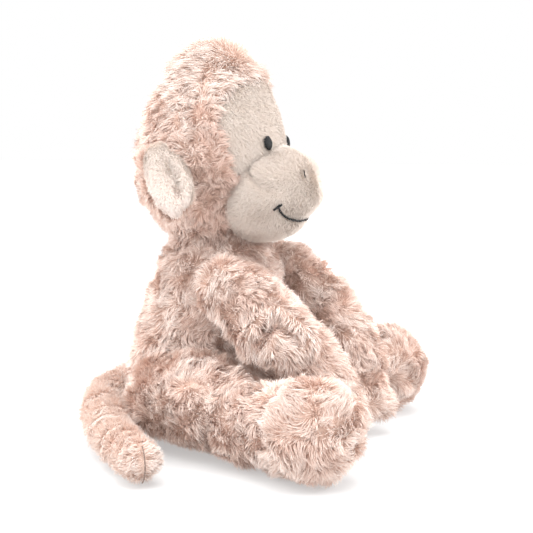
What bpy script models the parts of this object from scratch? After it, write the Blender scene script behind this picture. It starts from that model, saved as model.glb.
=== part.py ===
"""A stuffed monkey that sits on the floor, as the separate pieces it is sewn and filled from.

Frame: metres, +Z up. The monkey faces -Y and its left is +X. The origin is the middle of the flat seat.
The tables are in millimetres. Each limb has a round root in a socket of the torso, and turns about the
root's centre.
"""

import math

import bmesh
import bpy
from mathutils import Matrix, Vector

MM = 0.001

# Driving dimensions, in millimetres.
FUR = 7.0  # the long-pile cover: its backing and its pile, pressed
TAIL_FUR = 5.5  # the same on the thin tail
PLUSH = 4.0  # the short-pile cover of the face, muzzle and ears
GAP = 0.4  # between pieces that touch
TURN_GAP = 0.8  # between a limb's root and its socket
NECK_RADIUS = 15.0
NECK_Y = -1.0
NECK_SEAM_Z = 127.0  # the neck seam's height, between the torso and the head
SIDES = {"left": 1, "right": -1}

# Height, middle in y, half width, half depth.
TORSO = [
    (0, 0, 36, 36), (2.5, 1, 44, 43), (12, 6, 53, 52), (30, 8, 56, 55), (55, 6, 53, 52),
    (80, 3, 50, 49), (100, 0, 47, 45), (113, -1, 43, 41), (121, -1, 34, 33), (125.5, -1, 16, 16),
]
HEAD = [
    (128.5, -2, 10, 10), (131.5, -1, 26, 23), (140, 1, 41, 34), (155, 4, 52, 45), (175, 4, 56, 50),
    (195, 3, 54, 49), (215, 3, 48, 43.5), (233, 2, 38, 35), (248, 2, 25, 24), (257, 2, 10, 10),
]
MUZZLE_CENTRE = Vector((0, -38, 158.5))
MUZZLE_RADII = Vector((41, 32, 31.5))
CHIN_BACK = 6.5  # how far the muzzle's chin lies behind a plain ellipsoid's
CHIN_STARTS = -0.45  # the share of the muzzle's half height below which it lies that far back
FACE_CENTRE_Z = 195
FACE_HALF = (43.5, 38.5)  # the face opening's half width and half height, seen from the front
FACE_BACK = -8  # how deep in y the face opening is cut
FACE_FULLNESS = 2.3  # 2 is an ellipse, and more is fuller at the corners
EYE_X, EYE_Z = 17, 192.5  # the left eye's middle, seen from the front
BAG_TOP = 33.0  # height of the pellet bag's top inside the torso
OUTER_FACETS = (13, 24)  # rings and sides of the torso's and head's outside
INNER_FACETS = (9, 18)  # the same of their insides and fillings
TAIL_FACETS = (11, 10)
LIMB_FACETS = (7, 12)  # rings along a limb and sides round it
DOME_ANGLES = (32, 62)  # degrees from a limb's end towards its pole, of the rings of its dome
BALL_REACH = 1.07  # a 42-point ball holds a true ball of 1 / 1.07 its radius

# Limb routes for the left side, root first, and the radius at each point.
ARM_ROUTE = [(45, -27, 103.5), (46, -44, 93), (42, -62, 75), (33, -84, 48), (26, -99, 21)]
ARM_RADII = [20.5, 23, 24.5, 22, 16.5]
LEG_ROUTE = [(50, 10, 33), (62, -22, 33), (79, -62, 27.5), (95.5, -104, 32)]
LEG_RADII = [29, 31.5, 25.5, 31.8]
LEG_REACH = {"left": 0.87, "right": 1.0}  # the left leg is pushed back a little
FOOT_BLUNT = 0.9  # the foot's and the other limbs' end domes: 1 is half a ball
TAIL_ROUTE = [
    (0, 54, 29), (-17, 68, 26), (-41, 64, 23), (-64, 52, 20), (-86, 36, 17.5), (-110, 14, 16),
    (-136, -13, 14.5),
]
TAIL_RADII = [12.5, 14, 14.5, 14.5, 14.5, 14, 13.5]

# The left shoulder's axis, and the swing in degrees that each socket leaves room for.
ARM_AXIS = Vector((-0.866, 0.0, 0.5))
ARM_SWING = (0, 80)
LEG_SWING = (-70, 0)
TAIL_SWING = (-75, 0)

COLOURS = {
    "fur": ((0.80, 0.60, 0.53), 0.95),
    "plush": ((0.82, 0.70, 0.61), 0.9),
    "filling": ((0.93, 0.93, 0.92), 1.0),
    "pellets": ((0.72, 0.73, 0.74), 0.6),
    "thread": ((0.03, 0.03, 0.035), 0.6),
    "seam_thread": ((0.45, 0.33, 0.29), 0.8),
}


def clear_scene():
    for obj in list(bpy.data.objects):
        bpy.data.objects.remove(obj)


def make_materials():
    """One Principled material for each kind of cloth, filling and thread."""
    made = {}
    for name, (colour, roughness) in COLOURS.items():
        material = bpy.data.materials.new(name)
        material.use_nodes = True
        shader = material.node_tree.nodes["Principled BSDF"]
        shader.inputs["Base Color"].default_value = (*colour, 1)
        shader.inputs["Roughness"].default_value = roughness
        shader.inputs["Metallic"].default_value = 0
        made[name] = material
    return made


def place(name, shape, material=None, parent=None, origin=None):
    """Puts a bmesh in the scene as an object, closed and facing out. origin becomes its own origin."""
    bmesh.ops.remove_doubles(shape, verts=shape.verts, dist=1e-6)
    bmesh.ops.recalc_face_normals(shape, faces=shape.faces)
    at = Vector(origin) * MM if origin else Vector()
    bmesh.ops.translate(shape, verts=shape.verts, vec=-at)
    mesh = bpy.data.meshes.new(name)
    shape.to_mesh(mesh)
    shape.free()
    mesh.shade_smooth()
    mesh.set_sharp_from_angle(angle=math.radians(50))
    obj = bpy.data.objects.new(name, mesh)
    bpy.context.scene.collection.objects.link(obj)
    obj.location = at
    if material:
        mesh.materials.append(material)
    if parent:
        obj.parent = parent
        obj.location = at - parent.location
    return obj


def cutter(name, shape):
    """A helper that only cuts: it is drawn as wires and never rendered."""
    obj = place(name, shape)
    obj.hide_render = True
    obj.display_type = "WIRE"
    return obj


def cut(obj, tool, operation="DIFFERENCE"):
    modifier = obj.modifiers.new(tool.name, "BOOLEAN")
    modifier.object = tool
    modifier.operation = operation
    modifier.solver = "EXACT"


def pivot(name, at):
    """An empty on a joint's axis, which the moving piece hangs from."""
    empty = bpy.data.objects.new(name, None)
    empty.empty_display_size = 0.01
    empty.location = Vector(at) * MM
    bpy.context.scene.collection.objects.link(empty)
    return empty


def smooth(rows, count):
    """count rows evenly along a Catmull-Rom curve through rows of numbers."""
    padded = [rows[0], *rows, rows[-1]]
    made = []
    for i in range(count):
        t = i * (len(rows) - 1) / (count - 1)
        k = min(int(t), len(rows) - 2)
        f = t - k
        a, b, c, d = padded[k : k + 4]
        made.append(tuple(
            q + 0.5 * f * ((r - p) + f * ((2 * p - 5 * q + 4 * r - s) + f * (3 * q - p - 3 * r + s)))
            for p, q, r, s in zip(a, b, c, d)
        ))
    return made


def ring_of(shape, centre, u, v, segments):
    """One closed ring of vertices round an ellipse, in metres."""
    centre, u, v = Vector(centre), Vector(u), Vector(v)
    turns = [2 * math.pi * i / segments for i in range(segments)]
    return [shape.verts.new((centre + u * math.cos(turn) + v * math.sin(turn)) * MM) for turn in turns]


def skin(shape, rings, close_start=True, close_end=True):
    """Joins rings in order, and closes the ends with a flat face."""
    for lower, upper in zip(rings, rings[1:]):
        n = len(lower)
        for i in range(n):
            shape.faces.new((lower[i], lower[(i + 1) % n], upper[(i + 1) % n], upper[i]))
    if close_start:
        shape.faces.new(rings[0])
    if close_end:
        shape.faces.new(rings[-1])


def upright(table, inset, rings, segments):
    """A closed body from a table of (height, middle in y, half width, half depth), made smaller by inset."""
    shape = bmesh.new()
    rows = smooth(table, rings)
    low, high = rows[0][0] + inset, rows[-1][0] - inset
    made = []
    for z, y, half_width, half_depth in rows:
        z = low + (z - rows[0][0]) * (high - low) / (rows[-1][0] - rows[0][0])
        u = (max(half_width - inset, 2), 0, 0)
        v = (0, max(half_depth - inset, 2), 0)
        made.append(ring_of(shape, (0, y, z), u, v, segments))
    skin(shape, made)
    return shape


def ellipsoid(centre, radii, segments=20, rings=11):
    """A closed ellipsoid."""
    shape = bmesh.new()
    bmesh.ops.create_uvsphere(shape, u_segments=segments, v_segments=rings, radius=1)
    bmesh.ops.scale(shape, verts=shape.verts, vec=Vector(radii) * MM)
    bmesh.ops.translate(shape, verts=shape.verts, vec=Vector(centre) * MM)
    return shape


def block(low, high):
    """A box between two corners, used to cut."""
    shape = bmesh.new()
    bmesh.ops.create_cube(shape, size=1)
    low, high = Vector(low) * MM, Vector(high) * MM
    bmesh.ops.scale(shape, verts=shape.verts, vec=high - low)
    bmesh.ops.translate(shape, verts=shape.verts, vec=(low + high) / 2)
    return shape


def face_bar(inset, y_to, segments=32):
    """A bar along y with the face opening's outline, made smaller by inset."""
    shape = bmesh.new()
    rings = []
    for y in (-95, y_to):
        ring = []
        for i in range(segments):
            turn = 2 * math.pi * i / segments
            x, z = (
                (half - inset) * math.copysign(abs(way) ** (2 / FACE_FULLNESS), way)
                for half, way in zip(FACE_HALF, (math.cos(turn), math.sin(turn)))
            )
            ring.append(shape.verts.new(Vector((x, y, FACE_CENTRE_Z + z)) * MM))
        rings.append(ring)
    skin(shape, rings)
    return shape


def muzzle_back(height_share):
    """How far the muzzle lies back at this share of its half height: 0 from its middle up, and CHIN_BACK
    below CHIN_STARTS."""
    t = min(max(height_share / CHIN_STARTS, 0), 1)
    return CHIN_BACK * t * t * (3 - 2 * t)


def muzzle_shape(inset, segments, rings):
    """The muzzle's body: an ellipsoid whose chin recedes, made smaller by inset."""
    radii = MUZZLE_RADII - Vector((inset,) * 3)
    shape = ellipsoid(MUZZLE_CENTRE, radii, segments, rings)
    for vert in shape.verts:
        vert.co.y += muzzle_back((vert.co.z / MM - MUZZLE_CENTRE.z) / radii.z) * MM
    return shape


def post(centre, radius, z_from, z_to, segments=20):
    """An upright cylinder, used to cut the neck openings."""
    shape = bmesh.new()
    u, v = (radius, 0, 0), (0, radius, 0)
    skin(shape, [ring_of(shape, (*centre, z), u, v, segments) for z in (z_from, z_to)])
    return shape


def mirrored(point, side):
    return Vector((point[0] * side, point[1], point[2]))


def limb_rings(route, radii, inset, steps, blunt):
    """(centre, direction, radius) of each ring of a round-ended limb, inset from its outside, without its
    poles. blunt shortens the far end's dome."""
    rows = smooth([(*p, r) for p, r in zip(route, radii)], steps)
    centres = [Vector(row[:3]) for row in rows]
    radius = [row[3] - inset for row in rows]
    first = (centres[1] - centres[0]).normalized()
    last = (centres[-1] - centres[-2]).normalized()
    found = []
    for angle in reversed(DOME_ANGLES):
        lift = math.radians(angle)
        found.append((centres[0] - first * radius[0] * math.sin(lift), first, radius[0] * math.cos(lift)))
    for i in range(steps):
        ahead = centres[min(i + 1, steps - 1)] - centres[max(i - 1, 0)]
        found.append((centres[i], ahead.normalized(), radius[i]))
    for angle in DOME_ANGLES:
        lift = math.radians(angle)
        far = centres[-1] + last * radius[-1] * blunt * math.sin(lift)
        found.append((far, last, radius[-1] * math.cos(lift)))
    return found


def limb_ring(shape, centre, along, radius, segments):
    side = along.cross(Vector((0, 0, 1)))
    side = (side if side.length > 0.05 else Vector((1, 0, 0))).normalized()
    return ring_of(shape, centre, side * radius, side.cross(along).normalized() * radius, segments)


def limb_shell(route, radii, wall, facets=LIMB_FACETS, blunt=0.9, open_far=False):
    """A limb's cover: outside and inside walls, open at the root, and at the far end if open_far."""
    shape = bmesh.new()
    steps, segments = facets
    outside = limb_rings(route, radii, 0, steps, blunt)
    inside = limb_rings(route, radii, wall, steps, blunt)
    if open_far:
        outside, inside = outside[:-2], inside[:-2]
    outer = [limb_ring(shape, *row, segments) for row in outside]
    inner = [limb_ring(shape, *row, segments) for row in inside]
    skin(shape, outer, close_start=False, close_end=not open_far)
    skin(shape, inner, close_start=False, close_end=not open_far)
    skin(shape, [outer[0], inner[0]], False, False)
    if open_far:
        skin(shape, [outer[-1], inner[-1]], False, False)
    return shape


def limb_filling(route, radii, inset, facets=LIMB_FACETS, blunt=0.9):
    """The wad of filling inside a limb's cover."""
    shape = bmesh.new()
    steps, segments = facets
    skin(shape, [limb_ring(shape, *row, segments) for row in limb_rings(route, radii, inset, steps, blunt)])
    return shape


def swept_root(centre, axis, points, radii, swing, margin, steps=5):
    """The room that a swinging limb needs: the hull of balls along it at several angles of its swing."""
    shape = bmesh.new()
    centre, axis = Vector(centre), Vector(axis).normalized()
    for k in range(steps):
        angle = math.radians(swing[0] + (swing[1] - swing[0]) * k / (steps - 1))
        turn = Matrix.Rotation(angle, 3, axis)
        for point, radius in zip(points, radii):
            at = centre + turn @ (Vector(point) - centre)
            matrix = Matrix.Translation(at * MM)
            bmesh.ops.create_icosphere(shape, subdivisions=2, radius=(radius + margin) * BALL_REACH * MM,
                                       matrix=matrix)
    hull = bmesh.ops.convex_hull(shape, input=shape.verts)
    loose = [v for v in shape.verts if not v.link_faces]
    bmesh.ops.delete(shape, geom=loose, context="VERTS")
    kept = set(f for f in hull["geom"] if isinstance(f, bmesh.types.BMFace))
    inner = [f for f in shape.faces if f not in kept]
    bmesh.ops.delete(shape, geom=inner, context="FACES")
    loose = [v for v in shape.verts if not v.link_faces]
    bmesh.ops.delete(shape, geom=loose, context="VERTS")
    return shape


def arm_axis(side):
    """The shoulder's axis: a positive turn lifts the hand forwards, up and a little outwards."""
    return Vector((ARM_AXIS.x, ARM_AXIS.y * side, ARM_AXIS.z * side))


def leg_route(word):
    """One leg's route, from its hip to the middle of its foot."""
    hip_y = LEG_ROUTE[0][1]
    return [mirrored((x, hip_y + (y - hip_y) * LEG_REACH[word], z), SIDES[word]) for x, y, z in LEG_ROUTE]


def leg_axis(route):
    """The hip's axis lies level across the leg: a positive turn lifts the foot."""
    along = route[-1] - route[0]
    return Vector((along.y, -along.x, 0)).normalized()


def socket_cutters(label, margin):
    """What the limbs and the tail cut from the torso. margin is the gap, and more for the torso's inside."""
    swings = {"tail": (TAIL_ROUTE, (0, 0, 1), TAIL_RADII, TAIL_SWING)}
    for word, side in SIDES.items():
        arm, leg = [mirrored(p, side) for p in ARM_ROUTE], leg_route(word)
        swings[f"arm_{word}"] = (arm, arm_axis(side), ARM_RADII, ARM_SWING)
        swings[f"leg_{word}"] = (leg, leg_axis(leg), LEG_RADII, LEG_SWING)
    return [
        cutter(f"cut_{label}_{limb}", swept_root(route[0], axis, route[:3], radii, swing, margin))
        for limb, (route, axis, radii, swing) in swings.items()
    ]


def make_neck_seam(materials):
    """The ring of thread that sews the head to the torso."""
    shape = bmesh.new()
    sides, count, radius = 6, 24, 1.1
    rings = []
    for i in range(count):
        turn = 2 * math.pi * i / count
        out = Vector((math.cos(turn), math.sin(turn), 0))
        centre = Vector((0, NECK_Y, NECK_SEAM_Z)) + out * NECK_RADIUS
        rings.append(ring_of(shape, centre, out * radius, Vector((0, 0, radius)), sides))
    skin(shape, [*rings, rings[0]], False, False)
    place("neck_seam", shape, materials["seam_thread"])


def make_torso(materials):
    """The torso's cover, its wad of filling and the bag of pellets that it sits on."""
    outer_tools = socket_cutters("outside", TURN_GAP)
    inner_tools = socket_cutters("inside", TURN_GAP + FUR)
    filling_tools = socket_cutters("filling", TURN_GAP + FUR + GAP)

    cavity = cutter("cut_torso_cavity", upright(TORSO, FUR, *INNER_FACETS))
    for tool in inner_tools:
        cut(cavity, tool)
    neck = cutter("cut_torso_neck", post((0, NECK_Y), NECK_RADIUS, 112, 135))
    cover = place("torso_cover", upright(TORSO, 0, *OUTER_FACETS), materials["fur"])
    for tool in outer_tools:
        cut(cover, tool)
    cut(cover, cavity)
    cut(cover, neck)

    above = cutter("cut_above_bag", block((-90, -90, BAG_TOP), (90, 90, 160)))
    below = cutter("cut_below_filling", block((-90, -90, -20), (90, 90, BAG_TOP + GAP)))
    for name, tool, slot in (("torso_filling", below, "filling"), ("seat_pellet_bag", above, "pellets")):
        wad = place(name, upright(TORSO, FUR + GAP, *INNER_FACETS), materials[slot])
        for socket in filling_tools:
            cut(wad, socket)
        cut(wad, tool)


def make_head(materials, head):
    """The fur hood, the plush face and muzzle, and what fills them."""
    muzzle_room = cutter("cut_muzzle_room", muzzle_shape(-GAP, 24, 13))
    inside = cutter("cut_head_inside", upright(HEAD, FUR, *INNER_FACETS))
    neck = cutter("cut_head_neck", post((0, NECK_Y), NECK_RADIUS, 110, 142))
    opening = cutter("cut_face_opening", face_bar(0, FACE_BACK))
    outline = cutter("cut_face_outline", face_bar(GAP, FACE_BACK - GAP))

    hood = place("head_hood", upright(HEAD, 0, *OUTER_FACETS), materials["fur"], head)
    for tool in (inside, opening, muzzle_room, neck):
        cut(hood, tool)

    face = place("face_panel", upright(HEAD, 0, *OUTER_FACETS), materials["plush"], head)
    cut(face, inside)
    cut(face, outline, "INTERSECT")
    cut(face, muzzle_room)

    behind = cutter("cut_muzzle_behind", block((-60, -24, 100), (60, 40, 230)))
    hollow = cutter("cut_muzzle_hollow", muzzle_shape(PLUSH, 18, 10))
    muzzle = place("muzzle_panel", muzzle_shape(0, 24, 13), materials["plush"], head)
    cut(muzzle, hollow)
    cut(muzzle, behind)
    place("muzzle_filling", muzzle_shape(PLUSH + GAP, 18, 10), materials["filling"], head)
    filling = place("head_filling", upright(HEAD, FUR + GAP, *INNER_FACETS), materials["filling"], head)
    cut(filling, muzzle_room)


def head_surface(x, z):
    """The point of the head's front, and its outward normal, at this x and height."""
    def front(x, z):
        rows = smooth(HEAD, 200)
        row = min(rows, key=lambda r: abs(r[0] - z))
        return row[1] - row[3] * math.sqrt(1 - (x / row[2]) ** 2)

    step = 2.0
    y = front(x, z)
    slope_x = (front(x + step, z) - front(x - step, z)) / (2 * step)
    slope_z = (front(x, z + step) - front(x, z - step)) / (2 * step)
    return Vector((x, y, z)), Vector((slope_x, -1, slope_z)).normalized()


def make_eyes(materials, head):
    """Two oval satin-stitched eyes: low domes that lie on the face."""
    half_width, half_height, height, proud = 3.8, 4.5, 1.7, 0.7
    for word, side in SIDES.items():
        at, out = head_surface(EYE_X * side, EYE_Z)
        turn = out.to_track_quat("Z", "Y").to_matrix()
        shape = bmesh.new()
        rings = []
        for share, lift in ((1, 0), (1, 0.45), (0.8, 0.8), (0.45, 1)):
            u, v = turn @ Vector((half_width * share, 0, 0)), turn @ Vector((0, half_height * share, 0))
            rings.append(ring_of(shape, at + out * (proud + height * lift), u, v, 16))
        skin(shape, rings)
        place(f"eye_{word}", shape, materials["thread"], head)


def muzzle_point(turn, lift, proud):
    """A point proud of the muzzle by so many millimetres. turn is in degrees to the left, and lift up."""
    a, e = math.radians(turn), math.radians(lift)
    way = Vector((math.sin(a) * math.cos(e), -math.cos(a) * math.cos(e), math.sin(e)))
    at = Vector(way[i] * MUZZLE_RADII[i] for i in range(3))
    at.y += muzzle_back(way.z)
    out = Vector(way[i] / MUZZLE_RADII[i] for i in range(3)).normalized()
    return MUZZLE_CENTRE + at + out * proud


def thread(name, points, radius, material, parent=None, sides=6):
    """A stitched line: a thin closed tube through points."""
    shape = bmesh.new()
    rings, across = [], Vector((0.3, 0.2, 1))
    for i, at in enumerate(points):
        along = (points[min(i + 1, len(points) - 1)] - points[max(i - 1, 0)]).normalized()
        across = (across - along * across.dot(along)).normalized()
        rings.append(ring_of(shape, at, across * radius, across.cross(along) * radius, sides))
    skin(shape, rings)
    return place(name, shape, material, parent)


def make_stitches(materials, head):
    """The smile, its corner stitches and the nostril stitches, all of dark thread."""
    proud, radius = 1.4, 0.7
    smile = [muzzle_point(t, -26.5 + 19 * (abs(t) / 53) ** 2.6, proud) for t in range(-50, 51, 10)]
    thread("mouth_stitch", smile, radius, materials["thread"], head)
    for word, side in SIDES.items():
        corner = [muzzle_point(side * t, e, proud) for t, e in ((57.5, -12), (55, -9), (52, -5.5))]
        thread(f"mouth_corner_{word}", corner, radius, materials["thread"], head)
        nostril = [muzzle_point(side * t, e, proud) for t, e in ((21.5, 22), (20.5, 25.5), (21.5, 29))]
        thread(f"nostril_stitch_{word}", nostril, 0.5, materials["thread"], head)


EAR_ROOT = Vector((51, -10, 168))  # left ear: the middle of its seam with the head
EAR_OUT = Vector((0.78, 0.62, 0)).normalized()
EAR_LEAN = math.radians(40)  # the ear's top leans back
EAR_RADII = (17, 27, 7)  # outwards, along its height, through its thickness


def ear_frame(side):
    """The ear's own axes as a matrix: outwards, up along the seam, and the way its front faces."""
    out = mirrored(EAR_OUT, side)
    up = Vector((0, math.sin(EAR_LEAN), math.cos(EAR_LEAN)))
    up = (up - out * up.dot(out)).normalized()
    facing = mirrored(mirrored(out, side).cross(mirrored(up, side)), side)
    return Matrix((out, up, facing)).transposed()


def make_ears(materials, head):
    """Each ear is a plush lining in front and a fur back, sewn together round the rim, and to the head."""
    head_side = cutter("cut_ear_root", upright(HEAD, -GAP, *OUTER_FACETS))
    for word, side in SIDES.items():
        frame = ear_frame(side)
        middle = mirrored(EAR_ROOT, side) + frame.col[0] * EAR_RADII[0]
        for name, facing, slot in (("ear_lining", 1, "plush"), ("ear_back", -1, "fur")):
            shape = bmesh.new()
            rings = []
            for share, lift in ((1, 0), (1, 0.28), (0.86, 0.62), (0.6, 0.9), (0.3, 1.0)):
                if facing > 0 and share < 0.7:
                    lift = 0.55  # the lining is dished
                at = middle + frame.col[2] * facing * (GAP / 2 + EAR_RADII[2] * lift)
                u, v = frame.col[0] * EAR_RADII[0] * share, frame.col[1] * EAR_RADII[1] * share
                rings.append(ring_of(shape, at, u, v, 20))
            skin(shape, rings)
            cut(place(f"{name}_{word}", shape, materials[slot], head), head_side)


def make_arms(materials, arms):
    for word, side in SIDES.items():
        route = [mirrored(p, side) for p in ARM_ROUTE]
        place(f"arm_cover_{word}", limb_shell(route, ARM_RADII, FUR), materials["fur"], arms[word])
        wad = limb_filling(route, ARM_RADII, FUR + GAP)
        place(f"arm_filling_{word}", wad, materials["filling"], arms[word])


def make_legs(materials, legs):
    """Each leg is a cover, open at both ends, with a round sole that closes its foot."""
    steps, segments = LIMB_FACETS
    for word in SIDES:
        route = leg_route(word)
        cover = limb_shell(route, LEG_RADII, FUR, blunt=FOOT_BLUNT, open_far=True)
        place(f"leg_cover_{word}", cover, materials["fur"], legs[word])
        wad = limb_filling(route, LEG_RADII, FUR + GAP, blunt=FOOT_BLUNT)
        place(f"leg_filling_{word}", wad, materials["filling"], legs[word])
        shape = bmesh.new()
        walls = []
        for inset in (0, FUR):
            dome = limb_rings(route, LEG_RADII, inset, steps, FOOT_BLUNT)[-3:]
            walls.append([
                limb_ring(shape, at + along * GAP, along, radius, segments) for at, along, radius in dome
            ])
        for rings in walls:
            skin(shape, rings, close_start=False)
        skin(shape, [walls[0][0], walls[1][0]], False, False)
        place(f"foot_sole_{word}", shape, materials["fur"], legs[word])


def make_tail(materials, tail):
    route = [Vector(p) for p in TAIL_ROUTE]
    place("tail_cover", limb_shell(route, TAIL_RADII, TAIL_FUR, TAIL_FACETS), materials["fur"], tail)
    wad = limb_filling(route, TAIL_RADII, TAIL_FUR + GAP, TAIL_FACETS)
    place("tail_filling", wad, materials["filling"], tail)
    along = (route[-1] - route[-2]).normalized()
    up = Vector((0, 0, 1))
    up = (up - along * up.dot(along)).normalized()
    radius, blunt, proud = TAIL_RADII[-1], FOOT_BLUNT, 1.0
    arc = []
    for angle in range(-50, 51, 20):
        a = math.radians(angle)
        ahead, above = (radius * blunt + proud) * math.cos(a), (radius + proud) * math.sin(a)
        arc.append(route[-1] + along * ahead + up * above)
    thread("tail_tip_stitch", arc, 0.4, materials["seam_thread"], tail)


def build():
    clear_scene()
    materials = make_materials()
    make_torso(materials)
    make_neck_seam(materials)
    head = pivot("head_pivot", (0, NECK_Y, NECK_SEAM_Z))
    arms = {word: pivot(f"arm_pivot_{word}", mirrored(ARM_ROUTE[0], side)) for word, side in SIDES.items()}
    legs = {word: pivot(f"leg_pivot_{word}", leg_route(word)[0]) for word in SIDES}
    make_head(materials, head)
    make_eyes(materials, head)
    make_stitches(materials, head)
    make_ears(materials, head)
    make_arms(materials, arms)
    make_legs(materials, legs)
    make_tail(materials, pivot("tail_pivot", TAIL_ROUTE[0]))


build()
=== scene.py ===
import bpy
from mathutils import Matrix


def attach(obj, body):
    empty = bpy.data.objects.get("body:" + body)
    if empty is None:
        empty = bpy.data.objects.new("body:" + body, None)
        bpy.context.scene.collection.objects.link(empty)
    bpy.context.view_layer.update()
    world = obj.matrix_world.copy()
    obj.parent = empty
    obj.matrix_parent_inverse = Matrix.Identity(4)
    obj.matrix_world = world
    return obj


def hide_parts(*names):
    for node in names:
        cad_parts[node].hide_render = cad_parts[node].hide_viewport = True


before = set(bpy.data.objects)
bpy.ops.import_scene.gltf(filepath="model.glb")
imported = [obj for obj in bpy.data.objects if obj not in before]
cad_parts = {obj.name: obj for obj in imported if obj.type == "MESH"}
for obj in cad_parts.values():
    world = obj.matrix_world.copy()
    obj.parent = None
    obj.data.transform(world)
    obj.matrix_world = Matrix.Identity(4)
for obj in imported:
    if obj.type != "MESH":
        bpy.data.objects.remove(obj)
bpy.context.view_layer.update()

"""The looks of the stuffed monkey: sewn skins, long swirly fur, short plush, and thread.

Sizes and places are in millimetres, in the frame's own axes: the monkey faces -Y, its left is +X, +Z is up.
Each skin is the backing cloth, a little inside the CAD cover, and the pile grows out of it as real strands.
"""

import math

import bpy
import numpy as np
from mathutils import Vector
from mathutils.kdtree import KDTree

MM = 0.001
SIDES = {"left": 1, "right": -1}
BACKING = 5.0  # how far the backing cloth lies inside the CAD cover, under the long pile
SHORT_BACKING = 2.2  # the same under the short pile

# The CAD's own tables, which the skins follow.
TORSO = [
    (0, 0, 36, 36), (2.5, 1, 44, 43), (12, 6, 53, 52), (30, 8, 56, 55), (55, 6, 53, 52),
    (80, 3, 50, 49), (100, 0, 47, 45), (113, -1, 43, 41), (121, -1, 34, 33), (125.5, -1, 16, 16),
]
HEAD = [
    (128.5, -2, 10, 10), (131.5, -1, 26, 23), (140, 1, 41, 34), (155, 4, 52, 45), (175, 4, 56, 50),
    (195, 3, 54, 49), (215, 3, 48, 43.5), (233, 2, 38, 35), (248, 2, 25, 24), (257, 2, 10, 10),
]
DOWN = np.array([[0.0, 0.0, -1.0]])
NECK = [(110, 38), (116, 36.5), (122, 33), (129, 30), (137, 29)]
MUZZLE_CENTRE = np.array([0, -38, 158.5])
MUZZLE_RADII = np.array([41, 32, 31.5])
CHIN_BACK = 6.5
CHIN_STARTS = -0.45
FACE_CENTRE_Z = 195
FACE_HALF = (43.5, 38.5)
FACE_FULLNESS = 2.3
FACE_BACK = -8
EYE_X, EYE_Z = 17, 192.5
ARM_ROUTE = [(45, -27, 103.5), (46, -44, 93), (42, -62, 75), (33, -84, 48), (26, -99, 21)]
ARM_RADII = [20.5, 23, 24.5, 22, 16.5]
LEG_ROUTE = [(50, 10, 33), (62, -22, 33), (79, -62, 27.5), (95.5, -104, 32)]
LEG_RADII = [29, 31.5, 25.5, 31.8]
LEG_REACH = {"left": 0.87, "right": 1.0}
TAIL_ROUTE = [
    (0, 54, 29), (-17, 68, 26), (-41, 64, 23), (-64, 52, 20), (-86, 36, 17.5), (-110, 14, 16),
    (-136, -13, 14.5),
]
TAIL_RADII = [12.5, 14, 14.5, 14.5, 14.5, 14, 13.5]
EAR_ROOT = (51, -10, 168)
EAR_OUT = (0.78, 0.62, 0)
EAR_LEAN = math.radians(40)
EAR_RADII = (17, 27, 7)

# Colours as linear light: the pile's root, and its middle and tip in three shades of the same dye. The paler
# and darker shades also serve as painted light and painted shade where the pile's tone is shifted. Each cloth
# and thread is mottled between its two tones.
FUR_ROOT = (0.66, 0.46, 0.38)
FUR_MID = [(0.77, 0.57, 0.485), (0.80, 0.63, 0.55), (0.88, 0.75, 0.68)]
FUR_TIP = [(0.82, 0.65, 0.575), (0.85, 0.705, 0.635), (0.94, 0.84, 0.785)]
PLUSH_ROOT = (0.66, 0.57, 0.50)
PLUSH_TIP = [(0.75, 0.655, 0.585), (0.785, 0.70, 0.635), (0.87, 0.79, 0.73)]
FUR_CLOTH = [(0.60, 0.42, 0.34), (0.70, 0.53, 0.45)]
PLUSH_CLOTH = [(0.70, 0.61, 0.54), (0.76, 0.68, 0.61)]
THREAD = [(0.007, 0.007, 0.008), (0.018, 0.017, 0.018)]
SEAM_THREAD = [(0.16, 0.11, 0.09), (0.26, 0.19, 0.16)]


# ---------------------------------------------------------------- maths

def unit(v):
    return v / np.maximum(np.linalg.norm(v, axis=-1, keepdims=True), 1e-9)


def smooth(rows, count):
    """count rows evenly along a Catmull-Rom curve through rows of numbers."""
    rows = np.array(rows, float)
    padded = np.concatenate([rows[:1], rows, rows[-1:]])
    t = np.linspace(0, len(rows) - 1, count)
    k = np.minimum(t.astype(int), len(rows) - 2)
    f = (t - k)[:, None]
    p, q, r, s = (padded[k + i] for i in range(4))
    return q + 0.5 * f * ((r - p) + f * ((2 * p - 5 * q + 4 * r - s) + f * (3 * q - p - 3 * r + s)))


def waves(seed, size, terms=16):
    """A smooth random field: from points (n, 3) to n values of about -1 to 1, about size apart from crest
    to crest."""
    draw = np.random.default_rng(seed)
    steps = unit(draw.normal(size=(terms, 3))) * (2 * np.pi / size) * draw.uniform(0.6, 1.5, (terms, 1))
    shifts = draw.uniform(0, 2 * np.pi, terms)
    return lambda points: np.cos(points @ steps.T + shifts).sum(1) * (0.55 * math.sqrt(2 / terms))


def swirl(seed, size):
    """A smooth random direction field: from points (n, 3) to n vectors."""
    parts = [waves(seed * 10 + i, size) for i in range(3)]
    return lambda points: np.stack([part(points) for part in parts], 1)


def step_up(x, low, high):
    """0 below low, 1 above high, and smooth between."""
    t = np.clip((x - low) / (high - low), 0, 1)
    return t * t * (3 - 2 * t)


# ---------------------------------------------------------------- where the parts lie

def mirrored(route, side):
    return [(x * side, y, z) for x, y, z in route]


def leg_route(word):
    hip_y = LEG_ROUTE[0][1]
    stretched = [(x, hip_y + (y - hip_y) * LEG_REACH[word], z) for x, y, z in LEG_ROUTE]
    return mirrored(stretched, SIDES[word])


def limbs():
    """The centre line and radii of every limb, as (points, radii)."""
    found = {"tail": (TAIL_ROUTE, TAIL_RADII)}
    for word, side in SIDES.items():
        found[f"arm_{word}"] = (mirrored(ARM_ROUTE, side), ARM_RADII)
        found[f"leg_{word}"] = (leg_route(word), LEG_RADII)
    return {
        name: smooth([(*p, r) for p, r in zip(route, radii)], 40) for name, (route, radii) in found.items()
    }


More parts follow.
